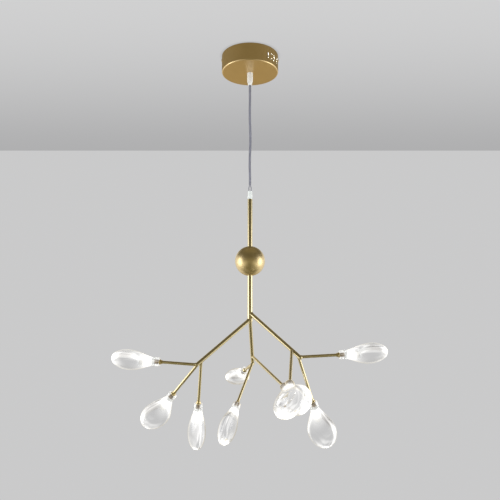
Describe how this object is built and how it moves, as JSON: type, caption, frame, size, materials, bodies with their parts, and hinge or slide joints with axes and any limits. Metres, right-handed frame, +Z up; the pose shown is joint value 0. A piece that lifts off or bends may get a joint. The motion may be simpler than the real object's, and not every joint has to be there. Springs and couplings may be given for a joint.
{
  "type": "branched pendant lamp",
  "caption": "Ceiling pendant: round canopy, clear cord and brass stem with a ball, whose branches and twigs carry drop-shaped clear glass shades over small capsule lamps.",
  "frame": {"origin": "centre of the canopy's rim, in the ceiling's plane, midway between the two ceiling screws", "axes": "+Z up into the ceiling; +X along the ceiling bracket, to the right in the picture; -Y towards the viewer"},
  "size_m": [0.5238, 0.4882, 0.8102],
  "materials": {
    "satin_brass": "satin, brushed round",
    "polished_brass": "polished",
    "zinc_steel": "zinc plated",
    "white_nylon": "moulded, satin",
    "white_plastic": "fine spark texture",
    "milky_plastic": "milky, smooth",
    "clear_cord": "clear jacket over tinned cores",
    "clear_silicone": "clear, soft",
    "terminal_ceramic": "unglazed, smooth",
    "capsule_lamp": "clear capsule, lit",
    "clear_glass": "polished, solid drop"
  },
  "bodies": {
    "canopy": {"canopy_shell": "satin_brass", "ceiling_bracket": "zinc_steel", "canopy_screws": "satin_brass", "driver_case": "white_plastic", "driver_lid": "white_plastic", "terminal_block": "terminal_ceramic", "earth_screw": "polished_brass", "cord_gland": "white_nylon", "gland_locknut": "white_nylon", "canopy_lead": "clear_cord"},
    "cord": {"supply_cord": "clear_cord", "cord_cores": "clear_cord"},
    "bushing": {"stem_bushing": "milky_plastic"},
    "pendant": {"stem_tube": "satin_brass", "stem_ball": "satin_brass", "ball_screw": "zinc_steel", "stem_cap": "satin_brass", "branch_left": "satin_brass", "branch_centre": "satin_brass", "branch_right": "satin_brass", "twig_left_outer": "satin_brass", "twig_left_middle": "satin_brass", "twig_left_lower": "satin_brass", "twig_centre_outer": "satin_brass", "twig_centre_middle": "satin_brass", "twig_centre_lower": "satin_brass", "twig_right_outer": "satin_brass", "twig_right_middle": "satin_brass", "twig_right_lower": "satin_brass", "ferrule_left_outer": "polished_brass", "ferrule_left_middle": "polished_brass", "ferrule_left_lower": "polished_brass", "ferrule_centre_outer": "polished_brass", "ferrule_centre_middle": "polished_brass", "ferrule_centre_lower": "polished_brass", "ferrule_right_outer": "polished_brass", "ferrule_right_middle": "polished_brass", "ferrule_right_lower": "polished_brass", "grip_sleeves": "clear_silicone", "lamp_holders": "terminal_ceramic", "lamp_left_outer": "capsule_lamp", "lamp_left_middle": "capsule_lamp", "lamp_left_lower": "capsule_lamp", "lamp_centre_outer": "capsule_lamp", "lamp_centre_middle": "capsule_lamp", "lamp_centre_lower": "capsule_lamp", "lamp_right_outer": "capsule_lamp", "lamp_right_middle": "capsule_lamp", "lamp_right_lower": "capsule_lamp"},
    "glass_left_outer": {"shade_left_outer": "clear_glass"},
    "glass_left_middle": {"shade_left_middle": "clear_glass"},
    "glass_left_lower": {"shade_left_lower": "clear_glass"},
    "glass_centre_outer": {"shade_centre_outer": "clear_glass"},
    "glass_centre_middle": {"shade_centre_middle": "clear_glass"},
    "glass_centre_lower": {"shade_centre_lower": "clear_glass"},
    "glass_right_outer": {"shade_right_outer": "clear_glass"},
    "glass_right_middle": {"shade_right_middle": "clear_glass"},
    "glass_right_lower": {"shade_right_lower": "clear_glass"}
  },
  "joints": [
    {"name": "cord_swing", "type": "hinge", "parent": "canopy", "child": "cord", "pos_m": [0, 0, -0.0688], "axis": [0, 1, 0], "range_deg": [-8, 8]},
    {"name": "pendant_sway", "type": "hinge", "parent": "cord", "child": "bushing", "pos_m": [0, 0, -0.298], "axis": [1, 0, 0], "range_deg": [-8, 8]},
    {"name": "stem_turn", "type": "hinge", "parent": "bushing", "child": "pendant", "pos_m": [0, 0, -0.3153], "axis": [0, 0, 1], "range_deg": [-180, 180]},
    {"name": "shade_turn_left_outer", "type": "hinge", "parent": "pendant", "child": "glass_left_outer", "pos_m": [-0.17113, -0.04329, -0.6434], "axis": [-0.9921, 0.1043, 0.0698], "continuous": true},
    {"name": "shade_turn_left_middle", "type": "hinge", "parent": "pendant", "child": "glass_left_middle", "pos_m": [-0.14747, -0.01571, -0.70439], "axis": [-0.6033, 0.3918, -0.6947], "continuous": true},
    {"name": "shade_turn_left_lower", "type": "hinge", "parent": "pendant", "child": "glass_left_lower", "pos_m": [-0.09839, -0.01672, -0.72194], "axis": [-0.0745, 0.3505, -0.9336], "continuous": true},
    {"name": "shade_turn_centre_outer", "type": "hinge", "parent": "pendant", "child": "glass_centre_outer", "pos_m": [-0.01146, 0.16503, -0.66343], "axis": [-0.2985, 0.9187, -0.2588], "continuous": true},
    {"name": "shade_turn_centre_middle", "type": "hinge", "parent": "pendant", "child": "glass_centre_middle", "pos_m": [-0.02595, 0.04443, -0.72684], "axis": [-0.2933, -0.6014, -0.7431], "continuous": true},
    {"name": "shade_turn_centre_lower", "type": "hinge", "parent": "pendant", "child": "glass_centre_lower", "pos_m": [0.06368, -0.04012, -0.68858], "axis": [0.3797, -0.8529, -0.3584], "continuous": true},
    {"name": "shade_turn_right_outer", "type": "hinge", "parent": "pendant", "child": "glass_right_outer", "pos_m": [0.168, -0.05215, -0.63021], "axis": [0.9932, 0.1044, 0.0523], "continuous": true},
    {"name": "shade_turn_right_middle", "type": "hinge", "parent": "pendant", "child": "glass_right_middle", "pos_m": [0.11812, -0.0355, -0.71734], "axis": [0.3037, 0.2459, -0.9205], "continuous": true},
    {"name": "shade_turn_right_lower", "type": "hinge", "parent": "pendant", "child": "glass_right_lower", "pos_m": [0.06786, -0.15371, -0.67847], "axis": [-0.0914, -0.8698, -0.4848], "continuous": true}
  ]
}
